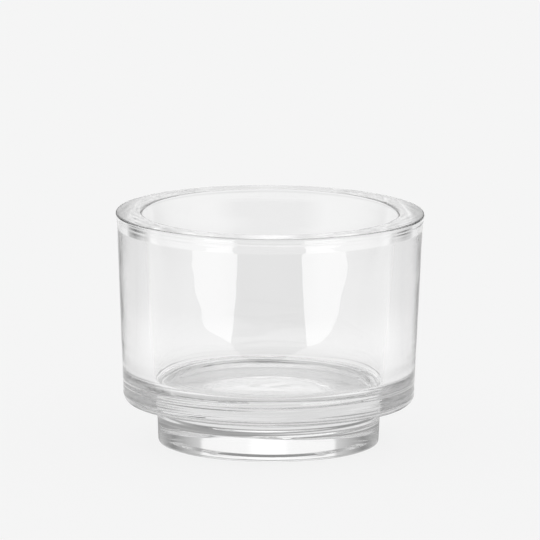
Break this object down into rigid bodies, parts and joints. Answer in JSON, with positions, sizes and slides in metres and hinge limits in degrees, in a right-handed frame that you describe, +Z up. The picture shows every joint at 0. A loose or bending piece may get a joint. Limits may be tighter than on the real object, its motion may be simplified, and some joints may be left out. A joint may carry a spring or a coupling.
{
  "type": "floating candle bowl",
  "caption": "Clear pressed-glass bowl with a thick beaded rim, drafted wall, rounded heel and a narrower solid foot, made to hold water and a floating candle.",
  "frame": {"origin": "centre of the foot's standing ring, on the table", "axes": "+Z up along the bowl's axis; the bowl is round, so +X and +Y are free"},
  "size_m": [0.0998, 0.0998, 0.0755],
  "materials": {
    "clear_glass": "fire-polished clear pressed glass"
  },
  "bodies": {
    "root": {"glass_bowl": "clear_glass"}
  },
  "joints": []
}
